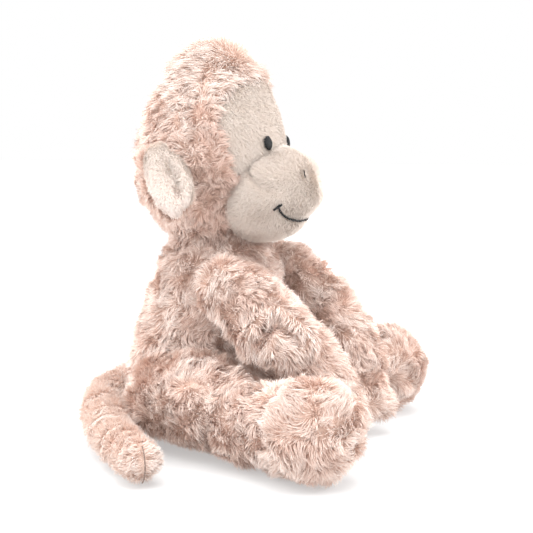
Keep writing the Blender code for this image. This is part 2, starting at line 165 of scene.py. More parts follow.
LIMBS = limbs()


def above_limb(points, name):
    """How far each point lies outside a limb's cover."""
    best = np.full(len(points), 1e9)
    for x, y, z, radius in LIMBS[name]:
        best = np.minimum(best, np.linalg.norm(points - (x, y, z), axis=1) - radius)
    return best


def above_table(points, table):
    """About how far each point lies outside the torso or the head."""
    rows = smooth(table, 120)
    order = rows[:, 0]
    middle, wide, deep = (np.interp(points[:, 2], order, rows[:, i]) for i in (1, 2, 3))
    beside = np.hypot(points[:, 0] / wide, (points[:, 1] - middle) / deep) - 1
    away = beside * np.minimum(wide, deep)
    return np.maximum(away, np.maximum(order[0] - points[:, 2], points[:, 2] - order[-1]))


def room_round(points, body):
    """How far each point lies from the other bodies' covers. Torso and head don't count for one another."""
    best = np.full(len(points), 1e9)
    for name in LIMBS:
        if name != body:
            best = np.minimum(best, above_limb(points, name))
    if body not in ("torso", "head"):
        best = np.minimum(best, above_table(points, TORSO))
        best = np.minimum(best, above_table(points, HEAD))
    return best


def full_oval(turn, power):
    """The place across and up, -1 to 1, on an oval that is fuller at its corners the smaller power is."""
    return [np.sign(x) * np.abs(x) ** power for x in (np.cos(turn), np.sin(turn))]


def face_share(points):
    """Below 1 inside the face opening, seen from the front, and more outside it."""
    across = np.abs(points[:, 0]) / FACE_HALF[0]
    along = np.abs(points[:, 2] - FACE_CENTRE_Z) / FACE_HALF[1]
    share = (across**FACE_FULLNESS + along**FACE_FULLNESS) ** (1 / FACE_FULLNESS)
    return np.where(points[:, 1] < FACE_BACK, share, 9.0)


def muzzle_place(way, proud=0.0):
    """The muzzle's point in each direction from its middle, moved out by proud, and its outward normal."""
    way = unit(np.atleast_2d(way))
    at = way * MUZZLE_RADII
    at[:, 1] += CHIN_BACK * step_up(way[:, 2] / CHIN_STARTS, 0, 1)
    out = unit(way / MUZZLE_RADII)
    return MUZZLE_CENTRE + at + out * np.reshape(proud, (-1, 1)), out


def muzzle_way(turn, lift):
    a, e = np.radians(turn), np.radians(lift)
    return np.stack([np.sin(a) * np.cos(e), -np.cos(a) * np.cos(e), np.sin(e)], -1)


def head_front(x, z, inset=0.0):
    """The head's front surface at this x and height."""
    rows = smooth(HEAD, 400)
    middle, wide, deep = (np.interp(z, rows[:, 0], rows[:, i]) for i in (1, 2, 3))
    wide, deep = wide - inset, deep - inset
    y = middle - deep * np.sqrt(np.maximum(1 - (x / wide) ** 2, 0))
    return np.stack([x, y, z], -1)


# ---------------------------------------------------------------- meshes

def show(name, points, tables, body, materials, indices=None):
    """Makes a mesh of points in millimetres and faces as a list of (n, 3) and (n, 4) tables, and lets it ride
    on its body. indices are the faces' materials."""
    mesh = bpy.data.meshes.new(name)
    mesh.vertices.add(len(points))
    mesh.vertices.foreach_set("co", (np.asarray(points) * MM).astype(np.float32).ravel())
    sizes = np.concatenate([np.full(len(t), t.shape[1]) for t in tables])
    corners = np.concatenate([t.ravel() for t in tables])
    mesh.loops.add(len(corners))
    mesh.loops.foreach_set("vertex_index", corners.astype(np.int32))
    mesh.polygons.add(len(sizes))
    mesh.polygons.foreach_set("loop_start", (np.cumsum(sizes) - sizes).astype(np.int32))
    mesh.update(calc_edges=True)
    for material in materials:
        mesh.materials.append(material)
    if indices is not None:
        mesh.polygons.foreach_set("material_index", np.asarray(indices, np.int32))
    mesh.polygons.foreach_set("use_smooth", np.full(len(sizes), True))
    mesh.validate()
    obj = bpy.data.objects.new(name, mesh)
    bpy.context.scene.collection.objects.link(obj)
    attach(obj, body)
    return obj


def grid_faces(rings, sides):
    """Quads of a tube of rings, with a point before its first ring and one after its last, facing out."""
    i = np.arange(rings - 1)[:, None] * sides
    j = np.arange(sides)[None, :]
    k = (j + 1) % sides
    quads = np.stack([i + j, i + k, i + k + sides, i + j + sides], -1).reshape(-1, 4)
    start, end = rings * sides, rings * sides + 1
    j, k = j.ravel(), k.ravel()
    last = (rings - 1) * sides
    fans = np.concatenate([
        np.stack([np.full(sides, start), k, j], 1), np.stack([np.full(sides, end), last + j, last + k], 1),
    ])
    return [quads, fans]


def halved(table):
    """The table's faces as triangles."""
    return table if table.shape[1] == 3 else np.concatenate([table[:, :3], table[:, [0, 2, 3]]])


def face_normals(points, tables):
    """The triangles of a mesh: (corner indices (n, 3), areas, area-weighted normals at the points)."""
    tris = np.concatenate([halved(table) for table in tables])
    cross = np.cross(points[tris[:, 1]] - points[tris[:, 0]], points[tris[:, 2]] - points[tris[:, 0]])
    normals = np.zeros_like(points)
    for i in range(3):
        np.add.at(normals, tris[:, i], cross)
    return tris, np.linalg.norm(cross, axis=1) / 2, unit(normals)


def upright_skin(table, inset, rings, sides):
    """Points and faces of the torso's or head's backing cloth."""
    rows = smooth(table, 400)
    low, high = rows[0, 0] + inset, rows[-1, 0] - inset
    # Rings are closer together where the outline turns in towards its ends.
    t = (1 - np.cos(np.linspace(0.04, 1, rings) * np.pi * 0.985)) / 2
    z = low + t * (high - low)
    source = rows[0, 0] + (z - low) / (high - low) * (rows[-1, 0] - rows[0, 0])
    middle, wide, deep = (np.interp(source, rows[:, 0], rows[:, i]) for i in (1, 2, 3))
    wide, deep = np.maximum(wide - inset, 2), np.maximum(deep - inset, 2)
    turn = np.linspace(0, 2 * np.pi, sides, endpoint=False)
    points = np.stack([
        wide[:, None] * np.cos(turn), middle[:, None] + deep[:, None] * np.sin(turn),
        np.repeat(z[:, None], sides, 1),
    ], -1).reshape(-1, 3)
    ends = np.array([[0, middle[0], low], [0, middle[-1], high]])
    return np.concatenate([points, ends]), grid_faces(rings, sides)


def limb_skin(rows, inset, rings, sides, blunt=0.9):
    """Points and faces of a limb's backing cloth, with round ends."""
    cap = 10
    body = smooth(rows, rings)
    centres, radii = body[:, :3], body[:, 3] - inset
    along = unit(np.gradient(centres, axis=0))
    lift = np.linspace(np.pi / 2, 0, cap, endpoint=False)[1:]
    start = centres[0] - along[0] * radii[0] * np.sin(lift)[:, None]
    end = centres[-1] + along[-1] * radii[-1] * blunt * np.sin(lift[::-1])[:, None]
    middles = np.concatenate([start, centres, end])
    ways = np.concatenate([np.repeat(along[:1], len(lift), 0), along, np.repeat(along[-1:], len(lift), 0)])
    sizes = np.concatenate([radii[0] * np.cos(lift), radii, radii[-1] * np.cos(lift[::-1])])
    side = unit(np.cross(ways, (0, 0, 1)))
    up = np.cross(side, ways)
    turn = np.linspace(0, 2 * np.pi, sides, endpoint=False)
    # Turning from side towards up keeps the faces outwards.
    points = middles[:, None] + sizes[:, None, None] * (
        side[:, None] * np.cos(turn)[:, None] - up[:, None] * np.sin(turn)[:, None])
    ends = np.array([centres[0] - along[0] * radii[0], centres[-1] + along[-1] * radii[-1] * blunt])
    return np.concatenate([points.reshape(-1, 3), ends]), grid_faces(len(middles), sides)


def outward(points, tables):
    """The faces turned so that they face out of the closed mesh."""
    tris, _, _ = face_normals(points, tables)
    a, b, c = (points[tris[:, i]] for i in range(3))
    volume = np.einsum("ij,ij->i", a, np.cross(b, c)).sum()
    return tables if volume > 0 else [t[:, ::-1] for t in tables]


def dented(points, tables, field):
    """The points moved along their normals by field(points, normals) millimetres."""
    _, _, normals = face_normals(points, tables)
    return points + normals * field(points, normals)[:, None]


# ---------------------------------------------------------------- materials

def principled(name, colour, roughness, sheen=0.0, specular=0.3):
    material = bpy.data.materials.new(name)
    material.use_nodes = True
    shader = material.node_tree.nodes["Principled BSDF"]
    shader.inputs["Base Color"].default_value = (*colour, 1)
    shader.inputs["Roughness"].default_value = roughness
    shader.inputs["Specular IOR Level"].default_value = specular
    shader.inputs["Sheen Weight"].default_value = sheen
    shader.inputs["Sheen Roughness"].default_value = 0.45
    return material


def cloth(name, dark, light, grain, sheen=0.3, roughness=0.9, bump=0.3):
    """A backing cloth: mottled between two tones, with the pile's own grain as bump. grain is in metres."""
    material = principled(name, light, roughness, sheen)
    nodes, links = material.node_tree.nodes, material.node_tree.links
    shader = nodes["Principled BSDF"]
    place = nodes.new("ShaderNodeTexCoord")
    mottle = nodes.new("ShaderNodeTexNoise")
    mottle.inputs["Scale"].default_value = 1 / (grain * 9)
    mottle.inputs["Detail"].default_value = 6
    links.new(place.outputs["Object"], mottle.inputs["Vector"])
    tones = nodes.new("ShaderNodeValToRGB")
    tones.color_ramp.elements[0].position = 0.32
    tones.color_ramp.elements[0].color = (*dark, 1)
    tones.color_ramp.elements[1].position = 0.68
    tones.color_ramp.elements[1].color = (*light, 1)
    links.new(mottle.outputs["Fac"], tones.inputs["Fac"])
    links.new(tones.outputs["Color"], shader.inputs["Base Color"])
    pile = nodes.new("ShaderNodeTexNoise")
    pile.inputs["Scale"].default_value = 1 / grain
    pile.inputs["Detail"].default_value = 4
    pile.inputs["Distortion"].default_value = 0.6
    links.new(place.outputs["Object"], pile.inputs["Vector"])
    relief = nodes.new("ShaderNodeBump")
    relief.inputs["Strength"].default_value = bump
    relief.inputs["Distance"].default_value = grain * 0.6
    links.new(pile.outputs["Fac"], relief.inputs["Height"])
    links.new(relief.outputs["Normal"], shader.inputs["Normal"])
    return material


def make_materials():
    fur = [principled("fur_root", FUR_ROOT, 0.9, 0.1)]
    fur += [principled(f"fur_mid_{i}", tone, 0.85, 0.1) for i, tone in enumerate(FUR_MID)]
    fur += [principled(f"fur_tip_{i}", tone, 0.8, 0.15) for i, tone in enumerate(FUR_TIP)]
    plush = [principled("plush_root", PLUSH_ROOT, 0.9, 0.1)]
    plush += [principled(f"plush_tip_{i}", tone, 0.85, 0.15) for i, tone in enumerate(PLUSH_TIP)]
    return {
        "fur": fur,
        "plush": plush,
        "fur_cloth": cloth("fur_cloth", *FUR_CLOTH, 0.0012),
        "plush_cloth": cloth("plush_cloth", *PLUSH_CLOTH, 0.0006),
        "thread": cloth("thread", *THREAD, 0.0003, 0.03, 0.6),
        "seam_thread": cloth("seam_thread", *SEAM_THREAD, 0.0003, 0.2, 0.8),
    }


# ---------------------------------------------------------------- pile

def scatter(points, tables, per_area, draw, keep):
    """Random roots on a mesh, per_area to the square millimetre: (places, normals). keep(places, normals)
    says which stay."""
    tris, areas, normals = face_normals(points, tables)
    count = int(areas.sum() * per_area)
    drawn = np.searchsorted(np.cumsum(areas), draw.uniform(0, areas.sum(), count))
    picked = tris[drawn.clip(max=len(tris) - 1)]
    a, b = draw.uniform(0, 1, (2, count))
    a, b = np.where(a + b > 1, 1 - a, a), np.where(a + b > 1, 1 - b, b)
    shares = np.stack([1 - a - b, a, b], 1)[:, :, None]
    places = (points[picked] * shares).sum(1)
    out = unit((normals[picked] * shares).sum(1))
    kept = keep(places, out)
    return places[kept], out[kept]


def gathered(places, spacing, draw):
    """Gathers the roots into tufts about spacing apart: the index of each root's tuft, and of each tuft's
    middle root."""
    roots_each = len(places) / max(spread_area(places), 1) * (spacing * spacing)
    count = max(int(len(places) / max(roots_each, 1)), 1)
    centres = draw.choice(len(places), min(count, len(places)), replace=False)
    tree = KDTree(len(centres))
    for i, c in enumerate(centres):
        tree.insert(places[c], i)
    tree.balance()
    tuft = np.array([tree.find(p)[1] for p in places])
    return tuft, centres


def spread_area(places):
    """About how many square millimetres of surface the roots cover. A curved surface passes through more
    cells than its area fills, hence the overlap."""
    cell, overlap = 4, 1.6
    cells = np.unique(np.round(places / cell).astype(int), axis=0)
    return len(cells) * cell**2 / overlap


def grow(name, places, out, comb, body, tones, length, lean, parting, width, tuft_size, tuft_pull,
         wisp_size, wisp_pull, curl, seed, room=None, tone_and_painted_light=0.0, wild=1.0, long=1.0, stand=None):
    """Long pile. comb gives the way it lies. length is in millimetres and lean in degrees from upright, each
    as (middle, swing), and parting is how far apart the places are where it stands up or lies flat, unless
    stand(places) says so. pull says how far the tips of a tuft or wisp close up. room is how high each strand
    may rise, and the tone shift moves it to paler or darker tones: tone that differs at random and, from
    fur_on, painted light and painted shade. wild is 1 for ruffled pile and 0 for smooth, and long multiplies
    the length."""
    draw = np.random.default_rng(seed)
    n = len(places)
    tuft, tuft_root = gathered(places, tuft_size, draw)
    wisp, wisp_root = gathered(places, wisp_size, draw)
    tufts = len(tuft_root)

    wild = np.broadcast_to(wild, n)
    ruffle = draw.normal(0, 0.25, (tufts, 3))[tuft] * wild[:, None]
    way = comb(places, out)
    # Where the comb's way fades out, between one lie and the next, the strands stand upright.
    firm = np.clip(np.linalg.norm(way - out * (way * out).sum(1, keepdims=True), axis=1) / 0.6, 0, 1)
    way = way + ruffle + draw.normal(0, 0.12, (n, 3))
    way = unit(way - out * (way * out).sum(1, keepdims=True))
    swing = (stand or waves(seed + 1, parting))(places)
    angle = lean[0] + wild * (lean[1] * swing + draw.normal(0, 5, tufts)[tuft]) + draw.normal(0, 6, n)
    angle = np.radians(angle * (0.35 + 0.65 * firm))
    tall = length[0] + length[1] * (waves(seed + 2, parting)(places) + draw.normal(0, 0.4, tufts)[tuft])
    tall = tall * long * draw.uniform(0.78, 1.08, n)
    off_tuft = places - places[tuft_root][tuft]
    off_wisp = places - places[wisp_root][wisp]
    edge = np.clip(np.linalg.norm(off_tuft, axis=1) / tuft_size, 0, 1)
    tall = tall * (1.03 - 0.18 * edge**2)
    rise = tall * np.cos(angle)
    if room is not None:
        rise = np.minimum(rise, np.maximum(room, 0.8) * draw.uniform(0.8, 1.1, n))
    reach = np.sqrt(np.maximum(tall**2 - rise**2, 0))
    across = np.cross(out, way)
    bend = (draw.uniform(-1, 1, tufts)[tuft] * curl * wild + draw.normal(0, 0.1, n)) * reach
    stray = draw.normal(0, 1, (n, 3)) * 0.045 * tall[:, None]
    low_edge = 0.25 + 0.6 * draw.uniform(0, 1, n)

    def along(s):
        line = places + out * (rise * (1.35 * s - 0.35 * s * s))[:, None]
        line = line + way * (reach * (0.55 * s + 0.45 * s * s))[:, None]
        line = line + across * (bend * 2.2 * s * (1 - s) - bend * 0.6 * s * s)[:, None]
        line = line - off_tuft * (tuft_pull * s * s) * wild[:, None]
        line = line - off_wisp * (wisp_pull * (1.6 * s - 0.6 * s * s)) * (0.4 + 0.6 * wild[:, None])
        line = line + stray * s * s
        line[:, 2] = np.maximum(line[:, 2], low_edge)
        return line

    lines = [along(s) for s in (0.0, 0.36, 0.72, 1.0)]
    roll = draw.normal(0, 0.5, n)[:, None]
    half_width = width / 2 * draw.uniform(0.8, 1.2, n)[:, None]
    rows = []
    for k, share in ((0, 1.0), (1, 0.92), (2, 0.66)):
        ahead = unit(lines[k + 1] - lines[k])
        side = unit(np.cross(ahead, out))
        side = side * np.cos(roll) + np.cross(ahead, side) * np.sin(roll)
        rows += [lines[k] - side * half_width * share, lines[k] + side * half_width * share]
    rows.append(lines[3])
    points = np.stack(rows, 1).reshape(-1, 3)
    first = np.arange(n)[:, None] * 7
    low, high, tip = first + [0, 1, 3, 2], first + [2, 3, 5, 4], first + [4, 5, 6]
    # The tone: the shift given, with its painted light and painted shade, and tone that differs at random by
    # tuft and strand.
    shade = tone_and_painted_light + draw.normal(0, 0.2, tufts)[tuft] + draw.normal(0, 0.5, n)
    tone = np.digitize(shade, (-0.45, 0.45))
    kinds = (len(tones) - 1) // 2
    # Roots take a middle tone where the tone is shifted pale, so the painted light on the crown reaches them
    # too.
    root = np.where(shade > 0.3, 2, 0)
    indices = np.concatenate([root, 1 + tone, 1 + kinds + tone])
    return show(name, points, [low, high, tip], body, tones, indices)


def short_pile(name, places, out, comb, body, length, lean, width, seed, pink=None, tone_and_painted_light=0.0):
    """Short plush pile: straight strands that lie the way comb says. pink(places) is the share of them that
    have the long pile's colour, and the tone shift moves the choice of tones, which also carries painted
    light."""
    draw = np.random.default_rng(seed)
    n = len(places)
    way = comb(places, out) + draw.normal(0, 0.35, (n, 3))
    way = unit(way - out * (way * out).sum(1, keepdims=True))
    angle = np.radians(draw.normal(lean, 10, n))
    tall = length * draw.uniform(0.75, 1.15, n)
    tip = places + out * (tall * np.cos(angle))[:, None] + way * (tall * np.sin(angle))[:, None]
    middle = places * 0.5 + tip * 0.5 + out * (0.12 * tall)[:, None]
    ahead = unit(tip - places)
    side = unit(np.cross(ahead, out)) * (width / 2)
    points = np.stack([places - side, places + side, middle - side * 0.8, middle + side * 0.8, tip], 1)
    first = np.arange(n)[:, None] * 5
    shade = tone_and_painted_light + waves(seed + 5, 22)(places) * 0.3 + draw.normal(0, 0.5, n)
    tone = 1 + np.digitize(shade, (-0.2, 0.9))
    if pink is not None:
        tone += np.where(draw.uniform(0, 1, n) < pink(places), len(PLUSH_TIP), 0)
    tones = MATERIALS["plush"] + MATERIALS["fur"][-len(FUR_TIP):]
    return show(name, points.reshape(-1, 3), [first + [0, 1, 3, 2], first + [2, 3, 4]], body,
                tones, np.concatenate([tone, tone]))


# ---------------------------------------------------------------- pieces

FUR_PILE = {"length": (7.8, 1.4), "lean": (46, 18), "parting": 14, "width": 0.34, "tuft_size": 5.5,
            "tuft_pull": 0.14, "wisp_size": 1.5, "wisp_pull": 0.26, "curl": 0.65}
HEAD_PILE = {**FUR_PILE, "length": (7.0, 1.1), "lean": (46, 20), "parting": 9, "tuft_size": 4.5,
             "curl": 0.8}
TAIL_PILE = {**FUR_PILE, "length": (6.0, 0.5), "lean": (46, 24), "tuft_size": 4.5}
EAR_FUR_PILE = {**HEAD_PILE, "length": (6.0, 1.0)}
FACE_PILE = {"length": 2.6, "lean": 50, "width": 0.32}
MUZZLE_PILE = {**FACE_PILE, "length": 2.8}
EAR_PILE = {**FACE_PILE, "length": 2.7, "lean": 56}
# Strands to the square millimetre.
DENSITY = 1.9
PLUSH_DENSITY = 5.5
# How deep inside a neighbour's cover the pile still grows, pressed flat, for when a joint bares it.
PRESSED = 14.0


def combed(base, seed, size=26, share=1.1):
    """The way the fur lies: base(points), and swirls across it. share is how strong the swirls are, as a
    number or a function of the points."""
    field = swirl(seed, size)
    strength = share if callable(share) else lambda points: share
    return lambda points, out: unit(base(points)) + strength(points) * field(points)


def fur_on(name, body, points, tables, comb, seed, keep=None, lift=0.0, wild=1.0, long=1.0, **changes):
    """Grows fur on a skin. keep(places, normals) says where, and lift is how much paler it is: painted light
    and painted shade, paler where light falls and darker in shade. lift, wild and long are numbers or
    functions of the places."""
    draw = np.random.default_rng(seed)
    keep = keep or (lambda places, out: np.ones(len(places), bool))
    places, out = scatter(points, tables, DENSITY, draw, keep)
    gap = room_round(places, body)
    near = gap > -PRESSED
    places, out, gap = places[near], out[near], gap[near]
    # Tone that differs at random, plus the painted light and painted shade that lift gives.
    tone_and_painted_light = waves(seed + 3, 34)(places) * 0.5 + (lift(places) if callable(lift) else lift)
    return grow(name, places, out, comb, body, MATERIALS["fur"], seed=seed, room=0.52 * (gap + 2 * BACKING),
                tone_and_painted_light=tone_and_painted_light, wild=wild(places) if callable(wild) else wild,
                long=long(places) if callable(long) else long, **{**FUR_PILE, **changes})


def make_torso():
    points, tables = upright_skin(TORSO, BACKING, 90, 128)
    tables = outward(points, tables)
    puff = waves(11, 34)
    points = dented(points, tables, lambda p, n: 1.3 * puff(p))
    points[:, 2] = np.maximum(points[:, 2], 0.8)
    skin = show("torso_skin", points, tables, "torso", [MATERIALS["fur_cloth"]])
    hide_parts("torso_cover", "torso_filling", "seat_pellet_bag")
    comb = combed(lambda p: DOWN, 21)
    halfway, seat = 2, 2
    fur_on("torso_fur_front", "torso", points, tables, comb, 21,
           lambda p, o: (p[:, 1] < halfway) & (p[:, 2] > seat))
    fur_on("torso_fur_back", "torso", points, tables, comb, 22,
           lambda p, o: (p[:, 1] >= halfway) & (p[:, 2] > seat))


def make_neck():
    """The short furry neck between the shoulders and the head, round the joint's axis."""
    rings, sides = 24, 96
    rows = smooth(NECK, rings)
    turn = np.linspace(0, 2 * np.pi, sides, endpoint=False)
    points = np.stack([
        rows[:, 1, None] * np.cos(turn), -1 + rows[:, 1, None] * 0.94 * np.sin(turn),
        np.repeat(rows[:, :1], sides, 1),
    ], -1).reshape(-1, 3)
    points = np.concatenate([points, [(0, -1, rows[0, 0]), (0, -1, rows[-1, 0])]])
    tables = outward(points, grid_faces(rings, sides))
    skin = show("neck_skin", points, tables, "torso", [MATERIALS["fur_cloth"]])
    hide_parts("neck_seam")

    def wall(p, o):
        return (p[:, 2] > 112) & (np.abs(o[:, 2]) < 0.7)

    comb = combed(lambda p: DOWN, 25)
    fur_on("neck_fur", "torso", points, tables, comb, 25, wall, length=(7.5, 1.0))


def muzzle_share(points):
    """Below 1 inside the muzzle and more outside it."""
    return np.linalg.norm((points - MUZZLE_CENTRE) / MUZZLE_RADII, axis=1)


def hood_comb(points):
    """Round the head the fur lies back and down, and at its front edge it leans out over the face and
    muzzle."""
    hang = 8 + 34 * step_up(points[:, 2], 162, 140)
    back = np.stack([points[:, 0] * 0.4, np.full(len(points), 14.0), -(points[:, 2] - 175) * 0.1 - hang], 1)
    edge = np.stack([-points[:, 0], np.full(len(points), -30.0), FACE_CENTRE_Z - points[:, 2]], 1)
    share = step_up(face_share(points), 1.4, 1.05)[:, None]
    front = step_up(muzzle_share(points), 1.3, 1.05)[:, None]
    way = unit(back) * (1 - share) + unit(edge) * share
    return way * (1 - front) + np.array([0, -1.0, -0.5]) * front


def make_head():
    points, tables = upright_skin(HEAD, BACKING, 110, 144)
    tables = outward(points, tables)

    def shape(p, normals):
        share = face_share(p + normals * BACKING)
        ridge = 3.0 * step_up(share, 0.98, 1.06) * step_up(share, 1.38, 1.12)
        jowl = 5.0 * step_up(p[:, 2], 158, 140)
        crown = 3.0 * step_up(p[:, 2], 230, 250)
        dip = 1.5 * step_up(share, 1.02, 0.94)
        return ridge + jowl + crown - dip + 1.2 * waves(31, 30)(p) * step_up(share, 1.0, 1.2)

    points = dented(points, tables, shape)
    skin = show("head_skin", points, tables, "head", [MATERIALS["fur_cloth"]])
    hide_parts("head_hood", "head_filling")

    def hood(low, high):
        def keep(p, o):
            level = (p[:, 2] >= low) & (p[:, 2] < high)
            return level & (face_share(p + o * BACKING) > 1.0) & (muzzle_share(p) > 0.97)
        return keep

    def light(p):
        """Painted light and painted shade: paler on the crown, where light falls from above, and darker on
        the cheeks.
        """
        cheek = step_up(face_share(p), 2.2, 1.2) * step_up(p[:, 2], 226, 206)
        return 1.8 * step_up(p[:, 2], 200, 235) - 0.25 - 0.6 * cheek

    def ruffled(p):
        return 0.3 + 0.7 * step_up(p[:, 2], 240, 212)

    def taller(p):
        return 1 + 0.5 * step_up(p[:, 2], 215, 248)

    def swirls(p):
        beside_face = 0.6 + 0.9 * step_up(face_share(p), 1.05, 1.35)
        return (0.1 + step_up(p[:, 2], 238, 205) * beside_face)[:, None]

    comb = combed(hood_comb, 31, 15, swirls)
    for seed, part, low, high in ((32, "low", 0, 178), (33, "middle", 178, 215), (34, "crown", 215, 400)):
        fur_on(f"hood_fur_{part}", "head", points, tables, comb, seed, hood(low, high), light, ruffled,
               taller, **HEAD_PILE)


def make_face():
    """The plush round the eyes: a patch of the head's front, closed behind, with its edge under the
    hood."""
    rings, sides = 46, 96
    turn = np.linspace(0, 2 * np.pi, sides, endpoint=False)
    rho = np.linspace(1.05, 0.0, rings, endpoint=False)[:, None]
    across, up = full_oval(turn, 2 / FACE_FULLNESS)
    x = FACE_HALF[0] * rho * across
    z = np.clip(FACE_CENTRE_Z + FACE_HALF[1] * rho * up, 131.5, 240)
    front = head_front(x, z, SHORT_BACKING + 4.0 * step_up(rho, 0.9, 1.02))
    back = head_front(x[::-1], z[::-1], SHORT_BACKING + 4.5)
    ends = np.stack([head_front(np.array(0.0), np.array(float(FACE_CENTRE_Z)), i)
                     for i in (SHORT_BACKING + 4.5, SHORT_BACKING)])
    middle = np.concatenate([back, front]).reshape(-1, 3)
    points = np.concatenate([middle, ends])
    tables = outward(points, grid_faces(rings * 2, sides))
    front_only = np.zeros(len(points), bool)
    front_only[rings * sides: 2 * rings * sides] = True
    puff = waves(41, 26)
    moved = dented(points, tables, lambda p, n: 0.6 * puff(p))
    points = np.where(front_only[:, None], moved, points)
    skin = show("face_skin", points, tables, "head", [MATERIALS["plush_cloth"]])
    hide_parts("face_panel")

    def keep(p, o):
        return (o[:, 1] < 0) & (muzzle_share(p) > 0.95) & (face_share(p) < 1.04)

    places, out = scatter(points, tables, PLUSH_DENSITY, np.random.default_rng(42), keep)
    down = combed(lambda p: DOWN, 43, 30, 0.12)
    short_pile("face_pile", places, out, down, "head", seed=44, **FACE_PILE)


def muzzle_relief(way):
    """How far the muzzle swells or is drawn in, by direction: the bridge above, the cheeks and mouth below,
    and the pinch of each nostril stitch."""
    turn = np.degrees(np.arctan2(way[:, 0], -way[:, 1]))
    lift = np.degrees(np.arcsin(np.clip(way[:, 2], -1, 1)))
    side = np.abs(turn)
    crease_lift = 13.5 + 18 * np.clip((side - 58) / 30, 0, 2) ** 2
    crease = -1.9 * np.exp(-(((lift - crease_lift) / 5.5) ** 2)) * step_up(side, 36, 66)
    cheek = 1.6 * np.exp(-(((side - 62) / 26) ** 2) - ((lift + 20) / 22) ** 2)
    bridge = 3.0 * np.exp(-(((side - 24) / 30) ** 2) - ((lift - 38) / 20) ** 2)
    front = 3.2 * np.exp(-((side / 52) ** 2)) * step_up(lift, -80, -35)
    pinch = -1.9 * np.exp(-(((side - 21) / 4.5) ** 2) - ((lift - 25.5) / 5.0) ** 2)
    groove = -0.4 * np.exp(-((side / 4.0) ** 2)) * step_up(lift, -60, -20) * step_up(lift, 40, 10)
    mouth = -1.1 * np.exp(-(((lift - smile_lift(side)) / 3.2) ** 2)) * step_up(side, 60, 46)
    return crease + cheek + bridge + front + pinch + groove + mouth


def smile_lift(side):
    return -28 + 20.5 * (np.abs(side) / 53) ** 2.6


def make_muzzle():
    rings, sides = 120, 180
    lift = np.linspace(-90, 90, rings + 2)[1:-1]
    turn = np.linspace(0, 360, sides, endpoint=False)
    # The poles point along y, so that the front is even.
    e, a = np.radians(lift)[:, None], np.radians(turn)
    along = np.broadcast_to(np.sin(e), (rings, sides))
    way = np.stack([np.cos(e) * np.cos(a), along, np.cos(e) * np.sin(a)], -1)
    way = np.concatenate([way.reshape(-1, 3), [(0, -1, 0), (0, 1, 0)]])
    points, _ = muzzle_place(way, muzzle_relief(way) - SHORT_BACKING)
    # Its back is cut off nearly flat, inside the head.
    points[:, 1] = np.minimum(points[:, 1], -22 + 0.02 * points[:, 1])
    tables = outward(points, grid_faces(rings, sides))
    skin = show("muzzle_skin", points, tables, "head", [MATERIALS["plush_cloth"]])
    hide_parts("muzzle_panel", "muzzle_filling")

    def keep(p, o):
        return (p[:, 1] < -24) & (above_table(p, HEAD) > -3.5)

    places, out = scatter(points, tables, PLUSH_DENSITY, np.random.default_rng(52), keep)
    away = combed(lambda p: p - np.array([0, -74, 172]), 53, 24, 0.3)
    short_pile("muzzle_pile", places, out, away, "head", seed=54, **MUZZLE_PILE)


def tube(points, radius, sides=8, across=(0.3, 0.2, 1.0)):
    """Points and faces of a closed thread through points, thinner towards its ends."""
    line = np.array(points, float)
    n = len(line)
    ahead = unit(np.gradient(line, axis=0))
    side = np.array(across, float)
    rings = []
    size = radius * np.sqrt(np.clip(1 - np.linspace(-1, 1, n) ** 8, 0.12, 1))
    for i in range(n):
        side = side - ahead[i] * (side @ ahead[i])
        side = side / np.linalg.norm(side)
        turn = np.linspace(0, 2 * np.pi, sides, endpoint=False)[:, None]
        rings.append(line[i] + size[i] * (side * np.cos(turn) + np.cross(ahead[i], side) * np.sin(turn)))
    start, end = line[:1] - ahead[0] * radius * 0.2, line[-1:] + ahead[-1] * radius * 0.2
    made = np.concatenate([*rings, start, end])
    return made, outward(made, grid_faces(n, sides))


def joined(parts):
    """One set of points and faces from several."""
    points, quads, fans, start = [], [], [], 0
    for p, (q, f) in parts:
        points.append(p)
        quads.append(q + start)
        fans.append(f + start)
        start += len(p)
    return np.concatenate(points), [np.concatenate(quads), np.concatenate(fans)]


def make_eyes():
    """Satin stitch: threads side by side across a low dome, their ends a little uneven."""
    half_width, half_height, strands, draw = 3.8, 4.6, 17, np.random.default_rng(61)
    for word, side in SIDES.items():
        x, z = EYE_X * side, EYE_Z
        at = head_front(np.array(x), np.array(z))
        near = [head_front(np.array(x + a), np.array(z + b)) for a, b in ((2, 0), (-2, 0), (0, 2), (0, -2))]
        right, up = unit(near[0] - near[1]), unit(near[2] - near[3])
        out = unit(np.cross(up, right))
        out = out if out[1] < 0 else -out
        parts = []
        for layer, (scale, lift) in enumerate(((1.0, 0.0), (0.84, 0.55))):
            for i in range(strands):
                share = (i + 0.5) / strands * 2 - 1
                chord = math.sqrt(max(1 - share * share, 0.02))
                half = half_height * scale * chord + draw.uniform(-0.3, 0.3)
                t = np.linspace(-1, 1, 9)[:, None]
                fullness = math.sqrt(max(1 - share * share * 0.8, 0.1))
                dome = 1.5 * np.sqrt(np.clip(1 - t**2 * 0.97, 0, 1)) * fullness
                tilt = 0.10 * t * (1 if layer else -1)
                line = (at + right * (share * half_width * scale + tilt) + up * half * t
                        + out * (dome * 0.9 + lift * 0.7 - 0.55))
                parts.append(tube(line, 0.30, 6, right))
        points, tables = joined(parts)
        piece = show(f"eye_stitches_{word}", points, tables, "head", [MATERIALS["thread"]])
        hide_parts(f"eye_{word}")


